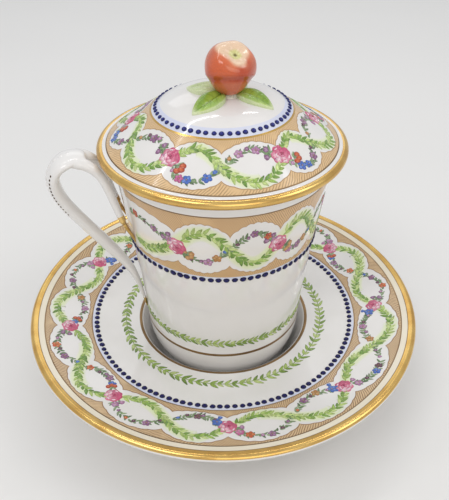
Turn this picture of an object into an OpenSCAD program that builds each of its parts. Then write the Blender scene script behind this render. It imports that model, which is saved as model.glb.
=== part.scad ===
// Covered chocolate cup in a deep-welled saucer. Millimetres, +Z up, origin under the
// saucer's centre on the table. The handle points along -X.

/* [Saucer] */
// Diameter over the rolled edge
saucer_d = 150; // [130:1:175]
// Height of the rolled edge's crest above the table
saucer_h = 28; // [24:0.5:34]
// Gap between the cup's painted foot line and the well's mouth
well_gap = 3.5; // [2:0.1:7]
// Depth of the well below its mouth
well_depth = 13; // [10:0.5:15]
// Width of the well's flat floor outside the cup's foot ring
floor_gap = 1; // [0.5:0.1:1.6]
// Drop of the brim's surface from the edge's crest to the well's mouth
brim_drop = 8.6; // [5:0.1:11]
// Thickness of the brim
saucer_wall = 3; // [2.2:0.1:4]
// Radius of the rolled edge
saucer_roll = 1.4; // [1:0.1:2]
// Outer diameter of the saucer's foot ring
saucer_foot_d = 66; // [58:0.5:72]
// Width of the saucer's foot ring
saucer_foot_w = 3.2; // [2:0.1:5]
// Height of the recess inside the saucer's foot ring
saucer_recess = 2.2; // [1.2:0.1:3]

/* [Cup] */
// Height of the cup from foot to rim
cup_h = 88.5; // [78:0.5:100]
// Outer diameter at the rim
cup_rim_d = 74.6; // [71:0.2:82]
// Outer diameter at the painted line above the foot
cup_waist_d = 60; // [56:0.2:62]
// Height of the painted line above the cup's foot
cup_waist_h = 18.5; // [15:0.5:22]
// Power of the wall's flare: 1 is a straight cone
cup_flare = 1.3; // [1:0.05:2]
// Thickness of the wall
cup_wall = 2.6; // [2:0.1:3.2]
// Width of the flat on the rim that carries the lid
cup_lip_flat = 0.6; // [0.4:0.1:1]
// Thickness of the bottom
cup_floor = 3.2; // [2.4:0.1:4.5]
// Outer diameter of the cup's foot ring
cup_foot_d = 46; // [42:0.5:48]
// Width of the cup's foot ring
cup_foot_w = 2.6; // [2:0.1:4]
// Height of the cup's foot ring
cup_foot_h = 2.2; // [1.6:0.1:3]

/* [Handle] */
// Height above the cup's foot where the handle's lower tip leaves the wall
handle_tip_h = 23.4; // [20:0.2:28]
// Height above the cup's foot of the strap's centre at its top
handle_top_h = 90.2; // [82:0.2:94]
// How far the strap's centre line stands out from the wall at its bend
handle_reach = 19.6; // [15:0.1:25]
// Thickness of the strap, seen from the side
strap_t = 4.2; // [3.4:0.1:5.4]
// Width of the strap on its lower limb
strap_w = 5.6; // [4.4:0.1:7]
// Width of the strap where it forks
fork_w = 11.2; // [9:0.1:12.5]
// Distance between the two arms' centre lines at their leaf ends
arm_gap = 14; // [12:0.2:16]
// Width of each arm
arm_w = 4.5; // [3.8:0.1:5.4]
// Thickness of each arm
arm_t = 3; // [2.4:0.1:3.8]
// Length of each arm's leaf end along the wall
arm_leaf_l = 10; // [6:0.2:12]
// Height above the cup's foot of the arms' tips
arm_tip_h = 59; // [54:0.5:64]
// Diameter of the largest bead on the strap's spine
bead_d = 1.5; // [1.2:0.05:2]
// Spacing of the beads
bead_pitch = 1.8; // [1.6:0.05:2.4]
// Number of beads along the spine
bead_n = 18; // [10:1:20]

/* [Lid] */
// Diameter over the lid's rolled edge
lid_d = 83; // [81:0.5:90]
// Rise of the lid's top above the cup's rim
lid_rise = 19; // [15:0.5:24]
// Diameter of the dome's shoulder, just inside the ring of raised dots
shoulder_d = 39; // [34:0.5:42]
// Rise of the shoulder above the cup's rim
shoulder_rise = 15; // [12:0.5:16.5]
// Thickness of the lid
lid_wall = 2.8; // [2.2:0.1:3.4]
// Radius of the lid's rolled edge
lid_roll = 1.5; // [1.2:0.05:1.8]
// Depth of the locating ring below the cup's rim
ring_depth = 4; // [3:0.5:8]
// Thickness of the locating ring
ring_wall = 2.4; // [1.8:0.1:3]
// Clearance between the locating ring and the cup's mouth
ring_clearance = 0.5; // [0.3:0.05:0.8]

/* [Finial] */
// Width of the fruit
fruit_d = 16; // [14:0.2:18]
// Height of the fruit along its own axis
fruit_h = 17.4; // [15:0.2:19]
// Lean of the fruit's axis
fruit_lean = 30; // [0:1:38]
// Direction of the lean
fruit_lean_az = -74; // [-180:1:180]
// Distance of the finial's foot from the lid's middle
finial_out = 4.2; // [0:0.1:5]
// Depth of the hollow at the fruit's crown
crown_depth = 3.2; // [2:0.1:4]
// Length of the longest leaf from the finial's foot
leaf_l = 15.6; // [13:0.2:18]
// Width of each leaf
leaf_w = 7.6; // [6:0.1:9.5]
// Rise of a leaf's halves above its sunk midrib
leaf_lift = 1.5; // [0.8:0.1:2.2]

/* [Hidden] */

// Facets round a revolved piece when it is drawn as a mesh
$fn = 96;

// Shared heights
well_mouth_z = saucer_h - brim_drop;
well_floor_z = well_mouth_z - well_depth;
cup_z = well_floor_z;
waist_z = cup_z + cup_waist_h;
rim_z = cup_z + cup_h;

// Part of a circle as points: centre, radius, from angle to angle
function arc(c, r, from, to, n) =
    [for (i = [0:n]) c + r * [cos(from + (to - from) * i / n), sin(from + (to - from) * i / n)]];

// Cubic curve through four control points, at t
function cubic(p, t) =
    p[0] * pow(1 - t, 3) + p[1] * 3 * t * pow(1 - t, 2) + p[2] * 3 * t * t * (1 - t) + p[3] * pow(t, 3);

// Cubic curve as points, without its first one
function cubic_run(p, n) = [for (i = [1:n]) cubic(p, i / n)];

// Uniform cubic B-spline through a list of control points, at u from 0 to 1
function spline(c, u) =
    let (
        spans = len(c) - 3,
        x = min(u * spans, spans - 0.0001),
        k = floor(x),
        t = x - k
    )
    (c[k] * pow(1 - t, 3)
        + c[k + 1] * (3 * pow(t, 3) - 6 * t * t + 4)
        + c[k + 2] * (-3 * pow(t, 3) + 3 * t * t + 3 * t + 1)
        + c[k + 3] * pow(t, 3)) / 6;

// Length of such a curve, summed over n steps
function spline_length(c, n, i = 0) =
    i == n ? 0 : norm(spline(c, (i + 1) / n) - spline(c, i / n)) + spline_length(c, n, i + 1);

function unit(v) = v / norm(v);
function reversed(p) = [for (i = [len(p) - 1:-1:0]) p[i]];
function clamp(x, low, high) = max(low, min(high, x));

// Saucer: one revolved section, upper side outward, then lower side inward
well_r = cup_waist_d / 2 + well_gap;
well_floor_r = cup_foot_d / 2 + floor_gap;
saucer_r = saucer_d / 2;
roll_c = [saucer_r - saucer_roll, saucer_h - saucer_roll];
well_edge_r = 1.2;
well_fillet = 4;

// Upper surface of the brim, from the well's mouth to the rolled edge
brim_top = [
    [well_r, well_mouth_z],
    [well_r + (saucer_r - well_r) * 0.35, well_mouth_z + brim_drop * 0.12],
    [well_r + (saucer_r - well_r) * 0.65, well_mouth_z + brim_drop * 0.48],
    roll_c + saucer_roll * [-0.5, 0.87]
];

// Underside of the brim, from the rolled edge back to the well's outer wall
brim_under = [
    roll_c + saucer_roll * [-0.5, -0.87],
    [well_r + (saucer_r - well_r) * 0.65, well_mouth_z + brim_drop * 0.42 - saucer_wall],
    [well_r + (saucer_r - well_r) * 0.38, well_mouth_z + brim_drop * 0.06 - saucer_wall],
    [well_r + saucer_wall * 1.1, well_mouth_z - saucer_wall * 1.15]
];

saucer_foot_r = saucer_foot_d / 2;
saucer_foot_fillet = 0.8;
saucer_foot_draft = 0.6;

module saucer() {
    color([0.93, 0.92, 0.90])
    rotate_extrude()
    polygon(concat(
        [[0, saucer_recess], [0, well_floor_z]],
        arc([well_floor_r, well_floor_z + well_fillet], well_fillet, -90, -28, 6),
        arc([well_r, well_mouth_z - well_edge_r], well_edge_r, 160, 90, 5),
        cubic_run(brim_top, 14),
        arc(roll_c, saucer_roll, 105, -105, 12),
        cubic_run(brim_under, 12),
        [[saucer_foot_r, saucer_recess * 2]],
        arc([saucer_foot_r - saucer_foot_fillet, saucer_foot_fillet], saucer_foot_fillet, 0, -90, 4),
        arc([saucer_foot_r - saucer_foot_w + saucer_foot_fillet, saucer_foot_fillet],
            saucer_foot_fillet, -90, -180, 4),
        [[saucer_foot_r - saucer_foot_w - saucer_foot_draft, saucer_recess]]
    ));
}

// Cup: outer wall radius at height z above the table, for z from the waist to the rim
function wall_r(z) =
    let (t = clamp((z - waist_z) / (rim_z - waist_z), 0, 1.1))
    cup_waist_d / 2 + (cup_rim_d - cup_waist_d) / 2 * pow(t, cup_flare);

// Small edges of the cup's foot ring, and how far the belly springs inside it
cup_foot_edge = 0.4;
cup_foot_draft = 0.5;

// Quarter of an ellipse from the foot ring's root out to the waist, inset by d
function belly(d, low_z, n) =
    let (foot_r = cup_foot_d / 2 - cup_foot_draft)
    [for (i = [0:n]) let (a = 90 * i / n)
        [foot_r - d + (cup_waist_d / 2 - foot_r) * sin(a),
            low_z + (waist_z - low_z) * (1 - cos(a))]];

module cup_body() {
    wall_n = 14;
    lip = (cup_wall - cup_lip_flat) / 2;
    lip_z = rim_z - lip;
    foot_r = cup_foot_d / 2;
    foot_in_r = foot_r - cup_foot_w;
    base_z = cup_z + cup_foot_h;
    rotate_extrude()
    polygon(concat(
        [[0, base_z]],
        [[foot_in_r - cup_foot_draft, base_z], [foot_in_r, cup_z + cup_foot_edge],
            [foot_in_r + cup_foot_edge, cup_z], [foot_r - cup_foot_edge, cup_z],
            [foot_r, cup_z + cup_foot_edge]],
        belly(0, base_z - cup_foot_edge, 10),
        [for (i = [1:wall_n]) let (z = waist_z + (lip_z - waist_z) * i / wall_n) [wall_r(z), z]],
        arc([wall_r(rim_z) - lip, lip_z], lip, 20, 90, 4),
        arc([wall_r(rim_z) - cup_wall + lip, lip_z], lip, 90, 160, 4),
        [for (i = [wall_n:-1:1]) let (z = waist_z + (lip_z - waist_z) * i / wall_n)
            [wall_r(z) - cup_wall, z]],
        reversed(belly(cup_wall, base_z + cup_floor, 10)),
        [[0, base_z + cup_floor]]
    ));
}

// Handle: a point of its run. u is the stand-off from the wall as a share of the reach,
// v the height between the lower tip and the top, side the distance from the mid plane.
handle_tip_z = cup_z + handle_tip_h;
handle_top_z = cup_z + handle_top_h;
function run_point(u, v, side) =
    let (z = handle_tip_z + v * (handle_top_z - handle_tip_z))
    [-(wall_r(z) + u * handle_reach), side, z];

// Spine of the single strap, from the lower tip round the bend to the crotch of the fork
strap_run = [
    run_point(-0.064, -0.178, 0), run_point(0.01, 0, 0), run_point(0.064, 0.156, 0),
    run_point(0.127, 0.284, 0), run_point(0.335, 0.409, 0), run_point(0.612, 0.563, 0),
    run_point(0.882, 0.71, 0), run_point(1.045, 0.837, 0), run_point(0.957, 0.974, 0),
    run_point(0.376, 1.02, 0), run_point(-0.148, 0.92, 0)
];

// Share of the way from the handle's lower tip up to the arms' tips
arm_tip_v = (cup_z + arm_tip_h - handle_tip_z) / (handle_top_z - handle_tip_z);

// Spine of one arm, from inside the strap down to its leaf tip on the wall
arm_side_v = 0.844;
arm_drop_v = arm_side_v - arm_tip_v;
function arm_run(side) = [
    run_point(0.98, 0.786, side * 0.05), run_point(0.966, 0.937, side * 0.14),
    run_point(0.582, 1.011, side * 0.38), run_point(0.24, 0.949, side * 0.62),
    run_point(0.168, arm_side_v, side * 0.79), run_point(0.126, arm_side_v - arm_drop_v * 0.35, side * 0.89),
    run_point(0.062, arm_side_v - arm_drop_v * 0.68, side * 1.02),
    run_point(-0.065, arm_tip_v, side * 1.03), run_point(-0.141, arm_tip_v - 0.11, side * 1.08)
];

// Section of the strap: an oval, w wide and t thick, with the spine raised by bump
function oval(w, t, bump, n) =
    [for (i = [0:n - 1]) let (a = 360 * i / n, s = sin(a))
        [w / 2 * cos(a), t / 2 * s + bump * pow(max(0, s), 8)]];

// Closed sweep of sections along points; side is the section's own x direction
module sweep(points, sections, across) {
    n = len(points);
    m = len(sections[0]);
    rings = [for (i = [0:n - 1])
        let (
            ahead = unit(points[min(i + 1, n - 1)] - points[max(i - 1, 0)]),
            x = unit(across - ahead * (across * ahead)),
            y = cross(ahead, x)
        )
        for (q = sections[i]) points[i] + x * q[0] + y * q[1]];
    polyhedron(
        points = concat(rings, [points[0], points[n - 1]]),
        faces = concat(
            [for (i = [0:n - 2]) for (j = [0:m - 1]) let (a = i * m + j, b = i * m + (j + 1) % m)
                each [[a, a + m, b], [b, a + m, b + m]]],
            [for (j = [0:m - 1]) [n * m, j, (j + 1) % m]],
            [for (j = [0:m - 1]) [n * m + 1, (n - 1) * m + (j + 1) % m, (n - 1) * m + j]]
        ),
        convexity = 6
    );
}

// Rounding of the strap's end, where its middle closes the crotch between the arms
function strap_end(u) = let (x = clamp((1 - u) / 0.10, 0, 1)) sqrt(x * (2 - x));

// Width of the strap at u along its spine: a point at the tip, the limb, then the fork
function strap_width(u) =
    let (rise = clamp(u / 0.22, 0, 1), fork = clamp((u - 0.62) / 0.30, 0, 1))
    ((0.2 + 0.8 * rise) * strap_w + (fork_w - strap_w) * fork * fork * (3 - 2 * fork))
        * (0.4 + 0.6 * strap_end(u));
function strap_thick(u) =
    let (rise = clamp(u / 0.42, 0, 1))
    strap_t * (0.14 + 0.86 * rise) * (0.3 + 0.7 * strap_end(u));

// Bead k, counted down from the fork, raised on the spine; the row fades at both ends
bead_start = 0.95;
strap_l = spline_length(strap_run, 40);
function bead_fade(k) = sqrt(clamp(min(k + 1, bead_n - k) / (bead_n * 0.35), 0, 1));
function bead_bump(u) =
    let (
        x = (bead_start - u) * strap_l / bead_pitch,
        k = floor(x),
        off = 2 * (x - k) - 1
    )
    x < 0 || k >= bead_n ? 0 : bead_d / 4 * bead_fade(k) * sqrt(max(0, 1 - off * off));

module strap() {
    sides = 16;
    plain_n = 18;
    per_bead = 4;
    end_u = bead_start - bead_n * bead_pitch / strap_l;
    stops = concat(
        [for (i = [0:plain_n]) end_u * i / plain_n],
        [for (i = [1:bead_n * per_bead]) end_u + (bead_start - end_u) * i / (bead_n * per_bead)],
        [for (i = [1:6]) bead_start + (1 - bead_start) * i / 6]
    );
    sweep(
        [for (u = stops) spline(strap_run, u)],
        [for (u = stops) oval(strap_width(u), strap_thick(u), bead_bump(u), sides)],
        [0, 1, 0]
    );
}

// Width and thickness of an arm at u: round at the fork, a leaf at the wall. Inside the
// leaf, x runs from 1 at its root to 0 at its tip; above 1 it counts back up the arm.
leaf_share = arm_leaf_l / spline_length(arm_run(arm_gap / 2), 40);
function arm_root(u) = clamp(u / 0.2, 0.25, 1);
function arm_width(u) =
    let (
        x = (1 - u) / leaf_share,
        neck = 1 - 0.18 * clamp((x - 1) / 1.2, 0, 1) * (1 - clamp((x - 2.2) / 1.5, 0, 1)),
        leaf = 0.16 + 0.68 * pow(clamp(x, 0, 1), 0.7),
        swell = 1 + 0.18 * clamp(1 - u / 0.4, 0, 1)
    )
    arm_w * arm_root(u) * swell * (x > 1 ? neck : leaf);
function arm_thick(u) =
    let (
        x = (1 - u) / leaf_share,
        neck = 0.78 + 0.22 * clamp((x - 1) / 1.5, 0, 1),
        leaf = 0.30 + 0.24 * clamp(x, 0, 1)
    )
    (arm_t + (strap_t - arm_t) * clamp(1.3 - u / 0.3, 0, 1)) * arm_root(u) * (x > 1 ? neck : leaf);

module arm(side) {
    stops = [for (i = [0:34]) i / 34];
    sweep(
        [for (u = stops) spline(arm_run(side), u)],
        [for (u = stops) oval(arm_width(u), arm_thick(u), 0, 12)],
        [0, 1, 0]
    );
}

// What the handle may not reach into: the cup's hollow
module cup_hollow() {
    clear_z = handle_top_z + strap_t * 2;
    rotate_extrude()
    polygon(concat(
        [[0, clear_z], [0, waist_z]],
        [for (i = [0:8]) let (z = waist_z + (rim_z - waist_z) * i / 8) [wall_r(z) - cup_wall / 2, z]],
        [[wall_r(rim_z) - cup_wall / 2, clear_z]]
    ));
}

module cup() {
    color([0.93, 0.92, 0.90]) {
        cup_body();
        difference() {
            union() {
                strap();
                arm(-arm_gap / 2);
                arm(arm_gap / 2);
            }
            cup_hollow();
        }
    }
}

// Lid: upper surface from the rolled edge in to the middle
lid_r = lid_d / 2;
lid_roll_c = [lid_r - lid_roll, rim_z + lid_roll * 0.55];
shoulder_r = shoulder_d / 2;
shoulder_z = rim_z + shoulder_rise;
lid_top_z = rim_z + lid_rise;
lid_edge_top = lid_roll_c + lid_roll * [-0.62, 0.78];

// Height of the lid's upper surface at radius r
function lid_z(r) =
    r >= shoulder_r
        ? shoulder_z + (lid_edge_top[1] - shoulder_z) * (r - shoulder_r) / (lid_edge_top[0] - shoulder_r)
        : let (x = r / shoulder_r)
            lid_top_z - (lid_top_z - shoulder_z) * (0.42 * pow(x, 2) + 0.58 * pow(x, 4));

ring_r = cup_rim_d / 2 - cup_wall - ring_clearance;
ring_edge = 0.6;

module lid_shell() {
    n = 9;
    inner_r = ring_r - ring_wall;
    ring_z = rim_z - ring_depth;
    cone_under = lid_wall / cos(atan2(shoulder_z - lid_edge_top[1], lid_edge_top[0] - shoulder_r));
    rotate_extrude()
    polygon(concat(
        [for (i = [0:n]) let (r = shoulder_r * i / n) [r, lid_z(r)]],
        arc(lid_roll_c, lid_roll, 125, -100, 14),
        [[lid_r - lid_roll * 1.9, rim_z], [ring_r + ring_edge, rim_z], [ring_r, rim_z - ring_edge],
            [ring_r, ring_z + ring_edge], [ring_r - ring_edge, ring_z],
            [inner_r + ring_edge, ring_z], [inner_r, ring_z + ring_edge],
            [inner_r, lid_z(inner_r) - cone_under - ring_edge],
            [inner_r - ring_edge, lid_z(inner_r) - cone_under]],
        [for (i = [n:-1:0]) let (r = shoulder_r * i / n) [r, lid_z(r) - lid_wall * 1.1]]
    ));
}

// Finial: a point of the fruit's skin at polar angle a from the crown, turned by turn
function fruit_point(a, turn) =
    let (
        tall = a < 90 ? fruit_h * 0.55 : fruit_h * 0.47,
        crown = exp(-pow(a / 30, 2)),
        lobes = 1 + 0.035 * cos(5 * turn + 20) * sin(a) * clamp((150 - a) / 90, 0, 1),
        pinch = 1 - 0.24 * pow(clamp((a - 90) / 90, 0, 1), 1.2),
        r = fruit_d / 2 * sin(a) * (1 + 0.05 * cos(a)) * lobes * pinch
    )
    [r * cos(turn), r * sin(turn),
        tall * cos(a) - crown_depth * crown + 0.25 * crown * sin(min(2 * a, 90)) * cos(5 * turn)];

// The fruit and its leaves spring from a foot a little off the lid's middle
finial_at = finial_out * [cos(fruit_lean_az), sin(fruit_lean_az)];
fruit_sink = 1.7;
hub_r = 4.2;
hub_flare = 0.8;
hub_h = 3;
hub_sink = 1.4;

module fruit() {
    rows = 18;
    turns = 32;
    rings = [for (i = [1:rows - 1]) for (j = [0:turns - 1]) fruit_point(180 * i / rows, 360 * j / turns)];
    m = (rows - 1) * turns;
    translate([finial_at[0], finial_at[1], lid_top_z - fruit_sink + fruit_h / 2])
    rotate([0, 0, fruit_lean_az])
    rotate([0, fruit_lean, 0])
    polyhedron(
        points = concat(rings, [fruit_point(0, 0), fruit_point(180, 0)]),
        faces = concat(
            [for (i = [0:rows - 3]) for (j = [0:turns - 1])
                let (a = i * turns + j, b = i * turns + (j + 1) % turns)
                each [[a, b, a + turns], [b, b + turns, a + turns]]],
            [for (j = [0:turns - 1]) [m, (j + 1) % turns, j]],
            [for (j = [0:turns - 1])
                [m + 1, (rows - 2) * turns + j, (rows - 2) * turns + (j + 1) % turns]]
        )
    );
}

// One leaf on the dome, pointing at azimuth az from the finial's foot: a pointed oval
// with a sunk midrib, its underside buried in the dome
module leaf(az, length) {
    along = 12;
    across = 6;
    start = 2;
    tip_w = 0.12;
    sway = 0.8;
    edge_h = 0.45;
    bury = 0.6;
    cols = across + 1;
    function half_w(t) = leaf_w / 2 * pow(sin(180 * pow(t, 0.85)), 0.8) + tip_w;
    function spot(i, j) =
        let (
            t = i / along,
            x = start + (length - start) * t,
            y = half_w(t) * (2 * j / across - 1) + sway * sin(150 * t)
        )
        finial_at + [x * cos(az) - y * sin(az), x * sin(az) + y * cos(az)];
    function lift(i, j) =
        let (out = abs(2 * j / across - 1))
        edge_h + leaf_lift * (0.1 + 0.9 * sin(150 * out)) * sin(180 * pow(i / along, 0.7));
    tops = [for (i = [0:along]) for (j = [0:across]) let (q = spot(i, j))
        [q[0], q[1], lid_z(norm(q)) + lift(i, j)]];
    lows = [for (i = [0:along]) for (j = [0:across]) let (q = spot(i, j))
        [q[0], q[1], lid_z(norm(q)) - bury]];
    k = len(tops);
    polyhedron(
        points = concat(tops, lows),
        faces = concat(
            [for (i = [0:along - 1]) for (j = [0:across - 1]) let (a = i * cols + j)
                each [[a, a + 1, a + cols], [a + 1, a + cols + 1, a + cols],
                    [k + a, k + a + cols, k + a + 1], [k + a + 1, k + a + cols, k + a + cols + 1]]],
            [for (i = [0:along - 1]) let (a = i * cols, b = a + across)
                each [[a, a + cols, k + a], [a + cols, k + a + cols, k + a],
                    [b, k + b, b + cols], [b + cols, k + b, k + b + cols]]],
            [for (j = [0:across - 1]) let (a = j, b = along * cols + j)
                each [[a, k + a, a + 1], [a + 1, k + a, k + a + 1],
                    [b, b + 1, k + b], [b + 1, k + b + 1, k + b]]]
        )
    );
}

// Azimuth of each leaf, and its length as a share of the longest
leaf_spread = [[-152, 1], [-40, 0.94], [50, 0.77], [141, 0.94]];

module lid() {
    color([0.93, 0.92, 0.90]) lid_shell();
    color([0.62, 0.72, 0.30]) for (l = leaf_spread) leaf(l[0], leaf_l * l[1]);
    color([0.62, 0.72, 0.30])
    translate([finial_at[0], finial_at[1], lid_top_z - hub_sink])
    cylinder(r1 = hub_r + hub_flare, r2 = hub_r - hub_flare, h = hub_h, $fn = 48);
    color([0.80, 0.38, 0.25]) fruit();
}

cup();
lid();
saucer();
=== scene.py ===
"""Looks of a covered chocolate cup in its deep-welled saucer.

Forms are worked out in millimetres on the part's own frame (+Z up, origin on the table under
the common axis, handle towards -X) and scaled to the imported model's size.
Every painted motif is a low enamel relief on one of three charts: the saucer's brim and the
lid, where h is a radius, and the cup's wall, where h is a height.
"""
import random
from functools import partial
from math import atan2, ceil, copysign, cos, pi, radians, sin, sqrt

import bpy
import numpy as np
from mathutils import Matrix, Vector


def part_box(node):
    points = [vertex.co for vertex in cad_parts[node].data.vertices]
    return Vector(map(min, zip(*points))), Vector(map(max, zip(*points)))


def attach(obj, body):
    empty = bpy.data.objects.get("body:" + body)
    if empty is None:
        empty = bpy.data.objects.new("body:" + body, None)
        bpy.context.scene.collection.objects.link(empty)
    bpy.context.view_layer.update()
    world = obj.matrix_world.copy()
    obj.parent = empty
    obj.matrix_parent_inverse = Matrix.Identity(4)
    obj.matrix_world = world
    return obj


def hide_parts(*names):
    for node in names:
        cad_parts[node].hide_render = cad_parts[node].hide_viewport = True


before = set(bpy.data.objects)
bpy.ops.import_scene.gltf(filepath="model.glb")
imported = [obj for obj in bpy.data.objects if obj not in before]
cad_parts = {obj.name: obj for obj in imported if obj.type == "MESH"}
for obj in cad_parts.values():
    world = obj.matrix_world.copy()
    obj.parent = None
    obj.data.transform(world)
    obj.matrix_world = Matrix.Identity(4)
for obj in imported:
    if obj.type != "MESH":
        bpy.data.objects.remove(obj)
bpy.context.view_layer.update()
rng = random.Random(7)

# One millimetre of the design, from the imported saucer's diameter
SAUCER_D = 150.0
_lo, _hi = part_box("saucer")
MM = (_hi[0] - _lo[0]) / SAUCER_D

# Saucer: the well's mouth and floor, the brim's width and fall, the rolled edge, the foot ring
WELL_R, WELL_Z, WELL_EDGE, FLOOR_Z, FLOOR_CORNER = 33.5, 19.4, 1.2, 6.4, 4.0
BRIM_W, BRIM_DROP, SAUCER_WALL = 41.5, 8.6, 3.0
ROLL_R, ROLL_C = 1.4, (73.6, 26.6)
FOOT_ROUND, SAUCER_RECESS = 0.8, 2.2
# Cup: waist and rim of the wall, foot, the floor inside
WAIST_Z, RIM_Z, WAIST_R, RIM_R, FLARE = 24.9, 94.9, 30.0, 37.3, 1.3
CUP_WALL, CUP_LIP, BELLY_R, CUP_RECESS_Z, CUP_FLOOR_Z = 2.6, 1.0, 22.5, 8.6, 11.8
# Lid: shoulder, dome, rolled edge and locating ring
SHOULDER_R, SHOULDER_Z, SHOULDER_ROUND, LID_TOP_Z, LID_WALL = 19.5, 109.9, 0.8, 113.9, 2.8
LID_ROLL, LID_ROLL_C = 1.5, (40.0, 95.725)
LID_EDGE = (LID_ROLL_C[0] - 0.62 * LID_ROLL, LID_ROLL_C[1] + 0.78 * LID_ROLL)
RING_OUT, RING_IN, RING_DEPTH = 34.2, 31.8, 4.0
# Handle: its lowest point over the table, height and reach; strap, fork, arms (ARM_LEAF is the
# share of an arm that its leaf takes) and beads
HANDLE_Z, HANDLE_TALL, HANDLE_REACH, HANDLE_SINK = 29.8, 66.8, 19.6, 1.3
STRAP_W, STRAP_T, FORK_WIDER = 5.6, 4.2, 5.6
ARM_OFF, ARM_W, ARM_T, ARM_LEAF, ARM_TIP_Z = 7.0, 4.5, 3.0, 10 / 44.66, 65.4
BEADS, BEAD_PITCH, GILT_DOTS = 18, 1.8, 13
# Half the angle of the white field round the handle
HANDLE_FIELD = 18.0
# Finial: fruit, and its leaves as azimuth and share of the full length
FRUIT_D, FRUIT_H, FRUIT_LEAN, FRUIT_AZ, FRUIT_OUT = 16.0, 17.4, 30.0, -74.0, 4.2
FRUIT_SINK, CROWN_DEPTH = 1.7, 3.2
LEAVES = ((-152, 1.0), (-40, 0.94), (50, 0.77), (141, 0.94))
LEAF_L, LEAF_W, LEAF_LIFT = 15.6, 7.6, 1.5
# Azimuth of the photograph's camera, counted from -Y
CAMERA_AZ = -15.0
# How far strokes, washes and grounds stand off the glaze
STROKE_LIFT, WASH_LIFT, GROUND_LIFT = 0.05, 0.02, 0.03


def srgb(r, g, b):
    """A colour written as 0-255 sRGB, as the linear values that shaders take."""
    return np.array([c / 12.92 if c <= 0.04045 else ((c + 0.055) / 1.055) ** 2.4
                     for c in (r / 255, g / 255, b / 255)])


def palette(*colours):
    return [srgb(*c) for c in colours]


WHITE, CREAM, BROWN = palette((231, 228, 225), (236, 226, 204), (128, 92, 58))
TAN, TAN_BROWN, TAN_CUP = palette((222, 188, 140), (212, 182, 140), (213, 176, 129))
INK_SOFT, INK_DARK, ROSE_DARK = palette((176, 140, 98), (146, 110, 72), (170, 46, 86))
DARK_LEAF, HALO, FLOWER_EYE = palette((74, 98, 40), (220, 229, 178), (226, 190, 96))
LEAF = palette((160, 192, 92), (184, 208, 118), (134, 172, 76), (202, 220, 142), (118, 158, 66))
WREATH = palette((150, 178, 84), (172, 194, 108), (190, 206, 132), (126, 156, 70))
PINKS = palette((234, 126, 164), (246, 176, 200), (208, 78, 122), (253, 230, 237))
# Small flowers by letter: body, light and deep
SAGE = palette((132, 158, 112), (150, 172, 128), (104, 132, 88))
FLOWERS = {
    "g": SAGE, "b": palette((84, 124, 206), (120, 158, 226), (56, 88, 176)),
    "p": palette((160, 112, 152), (194, 154, 186), (126, 76, 116)),
    "m": palette((196, 144, 182), (220, 180, 208), (160, 104, 146)),
    "k": palette((218, 116, 168), (234, 160, 196), (180, 78, 130)),
    "l": palette((118, 74, 94), (150, 106, 122), (82, 46, 62)),
    "o": palette((222, 114, 62), (238, 156, 96), (186, 72, 40)),
    "a": palette((204, 150, 84), (226, 182, 120), (168, 108, 56)),
    "r": palette((206, 78, 48), (230, 120, 70), (160, 46, 34))}
# Navy dots, deep and light
NIGHT = palette((12, 11, 54), (22, 23, 98))
NIGHT_LID = palette((22, 24, 78), (44, 54, 140))


# ---- curves and surfaces

def unit(x):
    return np.clip(x, 0, 1)


def around(n, full=2 * np.pi):
    return np.linspace(0, full, n, endpoint=False)


def lengths(points):
    """The way along a row of points, from the first one to each."""
    return np.append(0, np.cumsum(np.linalg.norm(np.diff(points, axis=0), axis=1)))


def smooth01(x):
    x = unit(x)
    return x * x * (3 - 2 * x)


def blend(c, other, share):
    """Moves colours towards another one, by a share for each."""
    return c + (other - c) * np.asarray(share)[..., None]


def arc(c, r, start, end, n):
    a = np.radians(np.linspace(start, end, n + 1))
    return list(np.stack([c[0] + r * np.cos(a), c[1] + r * np.sin(a)], 1))


def cubic(p, n):
    """Cubic curve through four control points, as n + 1 points."""
    t = np.linspace(0, 1, n + 1)[:, None]
    p = np.array(p, float)
    return p[0] * (1 - t) ** 3 + p[1] * 3 * t * (1 - t) ** 2 + p[2] * 3 * t * t * (1 - t) + p[3] * t ** 3


BRIM = cubic([(WELL_R, WELL_Z), (WELL_R + BRIM_W * 0.35, WELL_Z + BRIM_DROP * 0.12),
              (WELL_R + BRIM_W * 0.65, WELL_Z + BRIM_DROP * 0.48),
              (ROLL_C[0] - 0.5 * ROLL_R, ROLL_C[1] + 0.87 * ROLL_R)], 240)
BRIM_UNDER = cubic([(ROLL_C[0] - 0.5 * ROLL_R, ROLL_C[1] - 0.87 * ROLL_R),
                    (WELL_R + BRIM_W * 0.65, WELL_Z + BRIM_DROP * 0.42 - SAUCER_WALL),
                    (WELL_R + BRIM_W * 0.38, WELL_Z + BRIM_DROP * 0.06 - SAUCER_WALL),
                    (WELL_R + 1.1 * SAUCER_WALL, WELL_Z - 1.15 * SAUCER_WALL)], 60)


def brim_z(r):
    return np.interp(r, BRIM[:, 0], BRIM[:, 1])


def wall_r(z):
    return WAIST_R + (RIM_R - WAIST_R) * np.clip((z - WAIST_Z) / (RIM_Z - WAIST_Z), 0, 1.1) ** FLARE


def lid_z(r):
    r = np.asarray(r, float)
    cone = SHOULDER_Z + (LID_EDGE[1] - SHOULDER_Z) * (r - SHOULDER_R) / (LID_EDGE[0] - SHOULDER_R)
    x = r / SHOULDER_R
    dome = LID_TOP_Z - (LID_TOP_Z - SHOULDER_Z) * (0.42 * x ** 2 + 0.58 * x ** 4)
    return np.where(r >= SHOULDER_R, cone, dome)


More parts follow.
